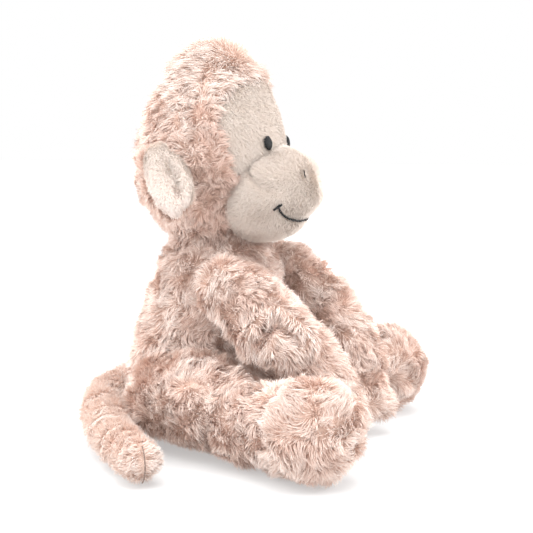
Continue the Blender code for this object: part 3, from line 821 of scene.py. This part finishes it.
def stitched(name, line, pitch, radius, body, material, out_of):
    """A line of back stitches along a path: each stitch is two plies, laid end over end."""
    twist = 0.35
    line = np.array(line, float)
    run = np.concatenate([[0], np.cumsum(np.linalg.norm(np.diff(line, axis=0), axis=1))])
    count = max(int(round(run[-1] / pitch)), 1)
    parts = []
    for k in range(count):
        s = np.linspace(k - 0.12, k + 1.12, 9) * run[-1] / count
        s = s.clip(0, run[-1])
        centre = np.stack([np.interp(s, run, line[:, i]) for i in range(3)], 1)
        out = out_of(centre)
        hump = np.sin(np.linspace(0, np.pi, 9))[:, None]
        ahead = unit(centre[-1] - centre[0])
        across = unit(np.cross(out, ahead))
        for ply in (-1, 1):
            turn = np.linspace(0, np.pi * 1.2, 9)[:, None] + (0 if ply > 0 else np.pi)
            weave = across * np.cos(turn) * radius * twist + out * np.sin(turn) * radius * twist
            lifted = centre + out * (hump * radius * 0.9 - radius * 0.4)
            parts.append(tube(lifted + weave, radius * 0.72, 7))
    points, tables = joined(parts)
    return show(name, points, tables, body, [material])


def make_mouth():
    """The smile, the tick at each of its corners, and the nostril stitches."""
    def on_muzzle(turn, lift, proud):
        turn, lift = np.array(turn, float), np.array(lift, float)
        way = muzzle_way(turn, lift)
        return muzzle_place(way, muzzle_relief(way) + proud)[0]

    def out_of(centre):
        return unit((centre - MUZZLE_CENTRE) / MUZZLE_RADII**2)

    def sewn(name, turn, lift, pitch, radius, node):
        piece = stitched(name, on_muzzle(turn, lift, -0.5), pitch, radius, "head",
                         MATERIALS["thread"], out_of)
        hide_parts(node)

    turn = np.linspace(-51, 51, 60)
    sewn("smile_stitches", turn, smile_lift(turn), 4.6, 0.8, "mouth_stitch")
    for word, side in SIDES.items():
        sewn(f"smile_tick_{word}", side * np.linspace(54.5, 49, 8), np.linspace(-12.5, -6, 8), 4.5, 0.8,
             f"mouth_corner_{word}")
        sewn(f"nostril_stitches_{word}", side * (20.6 + 1.2 * np.linspace(-1, 1, 8) ** 2),
             np.linspace(21.5, 29.5, 8), 3.5, 0.35, f"nostril_stitch_{word}")


def ear_axes(side):
    out = unit(np.array([EAR_OUT[0] * side, EAR_OUT[1], 0]))
    up = np.array([0, math.sin(EAR_LEAN), math.cos(EAR_LEAN)])
    up = unit(up - out * (up @ out))
    facing = np.cross(out, up) * side
    return out, up, facing


def ear_grid(rings, sides):
    """A grid over the ear seen from its front: u along its width, v along its height and rho from its middle
    to its rim, which is 1."""
    turn = np.linspace(0, 2 * np.pi, sides, endpoint=False)
    rho = np.linspace(0, 1, rings + 1)[1:, None]
    across, up = full_oval(turn, 0.82)
    return rho * across, rho * up, rho


def make_ears():
    """Each ear is a puffy cup: its lining dips into a long hollow, and its furry back is rounded."""
    rings, sides = 34, 96
    u, v, rho = ear_grid(rings, sides)
    rim = np.sqrt(np.clip(1 - rho**4, 0, 1))
    # The hollow lies nearer the head than the middle, so the outer rim is the puffier one.
    hollow = np.exp(-(((u + 0.05) / 0.25) ** 2) - ((v - 0.04) / 0.52) ** 4)
    front = EAR_RADII[2] * 1.1 * rim - 4.6 * hollow
    back = -EAR_RADII[2] * 0.9 * rim
    for word, side in SIDES.items():
        out, up, facing = ear_axes(side)
        middle = np.array([EAR_ROOT[0] * side, EAR_ROOT[1], EAR_ROOT[2]]) + out * EAR_RADII[0]

        def place(u, v, h):
            wide = (1 + 0.08 * v) * np.where(u < 0, 0.76, 1.0)
            return (middle + out * (u * wide * (EAR_RADII[0] - 1))[..., None]
                    + up * (v * wide * (EAR_RADII[1] - 1))[..., None] + facing * h[..., None])

        for node, height, slot in (("ear_lining", front, "plush"), ("ear_back", back, "fur")):
            shell = place(u, v, height).reshape(-1, 3)
            flat = place(u[::-1], v[::-1], np.zeros_like(height)).reshape(-1, 3)
            ends = np.stack([place(np.zeros(()), np.zeros(()), np.array(height[0].mean())), middle])
            points = np.concatenate([shell, flat, ends])
            tables = outward(points, grid_faces(rings * 2, sides))
            skin = show(f"{node}_skin_{word}", points, tables, "head", [MATERIALS[f"{slot}_cloth"]])
            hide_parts(f"{node}_{word}")
            outside = facing if node == "ear_lining" else -facing

            def keep(p, o):
                return ((p - middle) @ outside > 0.3) & (above_table(p, HEAD) > -2)

            seed = 70 + 3 * side + (0 if node == "ear_lining" else 10)
            draw = np.random.default_rng(seed)
            if node == "ear_lining":
                places, normals = scatter(points, tables, PLUSH_DENSITY, draw, keep)
                comb = combed(lambda p: (out * 0.5 - up)[None], seed, 14, 0.5)
                low_outside = out / EAR_RADII[0] * 0.6 - up / EAR_RADII[1] * 0.8
                # The lining's pile takes the palest tones: partly its own cream, partly painted light against
                # the shade the ear lies in.
                short_pile(f"ear_pile_{word}", places, normals, comb, "head", seed=seed, tone_and_painted_light=1.5,
                           pink=lambda p: 0.2 + 0.65 * step_up((p - middle) @ low_outside, -0.1, 0.7),
                           **EAR_PILE)
            else:
                places, normals = scatter(points, tables, DENSITY * 1.3, draw, keep)
                comb = combed(lambda p: p - middle, seed, 14, 0.5)
                grow(f"ear_fur_{word}", places, normals, comb, "head", MATERIALS["fur"], seed=seed,
                     **EAR_FUR_PILE)


# Where each arm's cover folds at the elbow, like a V upside down: its top, and the ends of its two sides.
ARM_FOLD = [(61.4, -66.4, 87.9), (63.8, -57.2, 74.4), (56.2, -79.4, 75.7)]


def from_line(points, start, end):
    """How far each point lies from the line between start and end."""
    run = end - start
    share = np.clip((points - start) @ run / (run @ run), 0, 1)
    return np.linalg.norm(points - start - share[:, None] * run, axis=1)


def make_arms():
    for word, side in SIDES.items():
        name = f"arm_{word}"
        points, tables = limb_skin(LIMBS[name], BACKING, 90, 72)
        tables = outward(points, tables)
        fold = [np.array([x * side, y, z]) for x, y, z in ARM_FOLD]

        def from_fold(p):
            return np.minimum(from_line(p, fold[0], fold[1]), from_line(p, fold[0], fold[2]))

        def shape(p, normals):
            beside = from_fold(p)
            crease = 2.6 * np.exp(-(((beside - 7) / 3.5) ** 2)) - 6.0 * np.exp(-((beside / 3.4) ** 2))
            hunch = 3.5 * np.exp(-((np.linalg.norm(p - (46, -38, 118), axis=1) / 16) ** 2)) * (side > 0)
            elbow = 4.5 * np.exp(-((np.linalg.norm(p - (58 * side, -52, 62), axis=1) / 20) ** 2))
            return 1.3 * waves(81 + side, 26)(p) + crease + hunch + elbow

        # Painted light and painted shade: paler along the fold's raised sides and darker down its crease.
        def light(p):
            beside = from_fold(p)
            return np.exp(-(((beside - 7) / 3.5) ** 2)) - 1.4 * np.exp(-((beside / 4.0) ** 2))

        points = dented(points, tables, shape)
        skin = show(f"{name}_skin", points, tables, name, [MATERIALS["fur_cloth"]])
        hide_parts(f"arm_cover_{word}", f"arm_filling_{word}")
        down = unit(np.array([[-9.0 * side, -60, -80]]))
        comb = combed(lambda p: down, 85 + side)
        fur_on(f"{name}_fur", name, points, tables, comb, 85 + side, lift=light)


def make_legs():
    for word, side in SIDES.items():
        name = f"leg_{word}"
        rows = LIMBS[name]
        points, tables = limb_skin(rows, BACKING, 100, 84)
        tables = outward(points, tables)
        ahead = unit(rows[-1, :3] - rows[-3, :3])
        foot = rows[-1, :3]
        dimple = foot + unit(np.array([25.0 * side, -8.2, 3.4])) * (LEG_RADII[-1] - BACKING)

        def shape(p, normals):
            dent = 3.5 * np.exp(-((np.linalg.norm(p - dimple, axis=1) / 9) ** 2))
            beside = step_up(above_limb(p + normals * BACKING, "tail"), 9, 4)
            return 1.3 * waves(91 + side, 28)(p) - dent + 2.0 * beside

        points = dented(points, tables, shape)
        points[:, 2] = np.maximum(points[:, 2], 0.8)
        skin = show(f"{name}_skin", points, tables, name, [MATERIALS["fur_cloth"]])
        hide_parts(f"leg_cover_{word}", f"leg_filling_{word}", f"foot_sole_{word}")

        def lie(p):
            """Along the leg, and out from the dimple all round the foot."""
            share = step_up(np.linalg.norm(p - foot, axis=1), 46, 30)[:, None]
            return ahead * (1 - share) + (unit(p - dimple) + (0, 0, -0.25)) * share

        def ruffle(p):
            return (1.1 + 0.9 * step_up(np.linalg.norm(p - foot, axis=1), 46, 30))[:, None]

        comb = combed(lie, 95 + side, share=ruffle)
        ankle = rows[-8, 0] * side
        fur_on(f"{name}_fur_outer", name, points, tables, comb, 95 + side,
               lambda p, o: p[:, 0] * side > ankle)
        fur_on(f"{name}_fur_inner", name, points, tables, comb, 99 + side,
               lambda p, o: p[:, 0] * side <= ankle)


def make_tail():
    points, tables = limb_skin(LIMBS["tail"], BACKING * 0.85, 150, 56)
    tables = outward(points, tables)
    rows = LIMBS["tail"]
    run = np.concatenate([[0], np.cumsum(np.linalg.norm(np.diff(rows[:, :3], axis=0), axis=1))])
    ways = unit(np.gradient(rows[:, :3], axis=0))

    def nearest_row(p):
        return np.linalg.norm(p[:, None] - rows[None, :, :3], axis=2).argmin(1)

    def ringed(p):
        """-1 in the tail's crosswise folds and 1 between them."""
        row = nearest_row(p)
        at = run[row] + ((p - rows[row, :3]) * ways[row]).sum(1)
        return np.sin(at * 2 * np.pi / 8.5 + 2.2 * waves(102, 30)(p))

    def shape(p, normals):
        beside = step_up(room_round(p + normals * BACKING, "tail"), 9, 4)
        return 0.9 * ringed(p) + 0.6 * waves(101, 22)(p) + 2.6 * beside

    points = dented(points, tables, shape)
    points[:, 2] = np.maximum(points[:, 2], 0.8)
    skin = show("tail_skin", points, tables, "tail", [MATERIALS["fur_cloth"]])
    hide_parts("tail_cover", "tail_filling")
    tip, ahead = rows[-1, :3], ways[-1]
    beside = unit(np.cross(ahead, (0, 0, 1)))

    def lie(p):
        """Along the tail, and away from the seam on its tip."""
        share = step_up((p - tip) @ ahead, -2, 5)[:, None]
        return ways[nearest_row(p)] * (1 - share) + beside * np.sign((p - tip) @ beside)[:, None] * share

    comb = combed(lie, 105, 18, 0.3)
    # Painted light: the whole tail's pile is shifted paler, for the light it catches from behind and off the
    # floor.
    fur_on("tail_fur", "tail", points, tables, comb, 105, lift=0.9, stand=ringed, **TAIL_PILE)
    up = unit(np.array([0, 0, 1.0]) - ahead * ahead[2])
    a = np.radians(np.linspace(-55, 55, 40))[:, None]
    radius = TAIL_RADII[-1]
    line = tip + ahead * (radius * 0.93) * np.cos(a) + up * (radius * 0.97) * np.sin(a)
    piece = stitched("tail_tip_stitches", line, 3.0, 0.42, "tail", MATERIALS["seam_thread"],
                     lambda c: unit(c - tip))
    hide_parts("tail_tip_stitch")


# ---------------------------------------------------------------- stage

def add_lamp(name, light, at, way):
    """Hangs a lamp at a place, in millimetres, so that it shines along way."""
    lamp = bpy.data.objects.new(name, light)
    lamp.location = Vector(at) * MM
    lamp.rotation_euler = way.to_track_quat("-Z", "Y").to_euler()
    bpy.context.scene.collection.objects.link(lamp)


def make_stage():
    """A pale floor with a small glow of its own, a white room of light, and large soft lamps."""
    far = 6000 * MM
    mesh = bpy.data.meshes.new("floor")
    mesh.from_pydata([(-far, -far, 0), (far, -far, 0), (far, far, 0), (-far, far, 0)], [], [(0, 1, 2, 3)])
    floor = bpy.data.objects.new("floor", mesh)
    paper = principled("floor_paper", (0.45, 0.45, 0.45), 0.9, specular=0.0)
    look = paper.node_tree.nodes["Principled BSDF"].inputs
    look["Emission Color"].default_value = (1, 1, 1, 1)
    look["Emission Strength"].default_value = 0.4
    mesh.materials.append(paper)
    bpy.context.scene.collection.objects.link(floor)

    world = bpy.data.worlds.new("room")
    bpy.context.scene.world = world
    world.use_nodes = True
    walls = world.node_tree.nodes["Background"]
    walls.inputs["Color"].default_value = (1, 1, 1, 1)
    walls.inputs["Strength"].default_value = 1.0

    middle = Vector((0, 0, 120))
    for name, at, power in (("lamp_left", (-600, 800, 600), 9.0), ("lamp_right", (400, -1000, 450), 11.0)):
        light = bpy.data.lights.new(name, "AREA")
        light.energy, light.size = power, 900 * MM
        add_lamp(name, light, at, middle - Vector(at))

    sun = bpy.data.lights.new("lamp_above", "SUN")
    sun.energy, sun.angle = 3.4, math.radians(60)
    add_lamp("lamp_above", sun, (0, 0, 0), Vector((0.1, 0.0, -1)))

    bpy.context.scene.view_settings.view_transform = "Standard"


def make_camera():
    """The camera stands to the monkey's right and a little in front of it, and looks slightly down."""
    camera = bpy.data.cameras.new("camera")
    camera.lens, camera.sensor_width = 79.0, 36.0
    obj = bpy.data.objects.new("camera", camera)
    obj.location = Vector((-705, -326, 200)) * MM
    down = math.radians(6.6)
    look = Vector((0.925, 0.381, 0)).normalized() * math.cos(down) - Vector((0, 0, math.sin(down)))
    obj.rotation_euler = look.to_track_quat("-Z", "Y").to_euler()
    bpy.context.scene.collection.objects.link(obj)
    bpy.context.scene.camera = obj


MATERIALS = make_materials()
make_camera()
make_stage()
make_torso()
make_neck()
make_head()
make_face()
make_muzzle()
make_eyes()
make_mouth()
make_ears()
make_arms()
make_legs()
make_tail()
